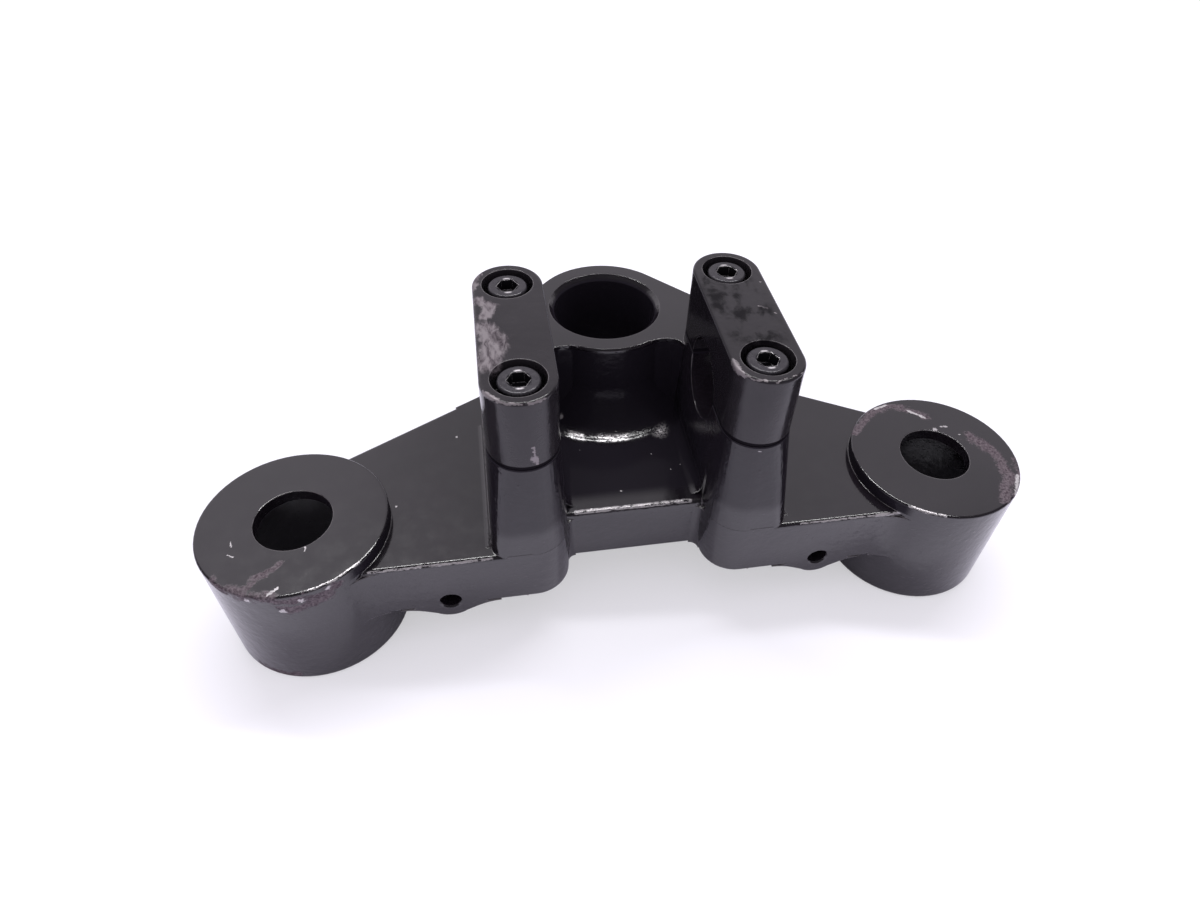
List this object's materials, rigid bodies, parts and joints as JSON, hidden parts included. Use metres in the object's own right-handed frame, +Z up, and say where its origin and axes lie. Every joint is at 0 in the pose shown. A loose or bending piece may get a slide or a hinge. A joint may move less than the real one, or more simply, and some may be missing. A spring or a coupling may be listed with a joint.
{
  "type": "motorcycle fork head bracket",
  "caption": "Cast top fork yoke with steering stem bore, fork tube sockets and handlebar posts closed by screwed clamp caps.",
  "frame": {"origin": "on the steering axis, at the level of the arms' top faces", "axes": "+X towards the fork socket on the right of the picture; -Y towards the front of the motorcycle; +Z up along the steering axis"},
  "size_m": [0.2284, 0.104, 0.0843],
  "materials": {
    "casting_enamel": "gloss",
    "cap_enamel": "satin",
    "screw_black": "satin"
  },
  "bodies": {
    "root": {"yoke_casting": "casting_enamel", "clamp_cap_left": "cap_enamel", "clamp_cap_right": "cap_enamel", "screw_left_front": "screw_black", "screw_left_rear": "screw_black", "screw_right_front": "screw_black", "screw_right_rear": "screw_black"}
  },
  "joints": []
}
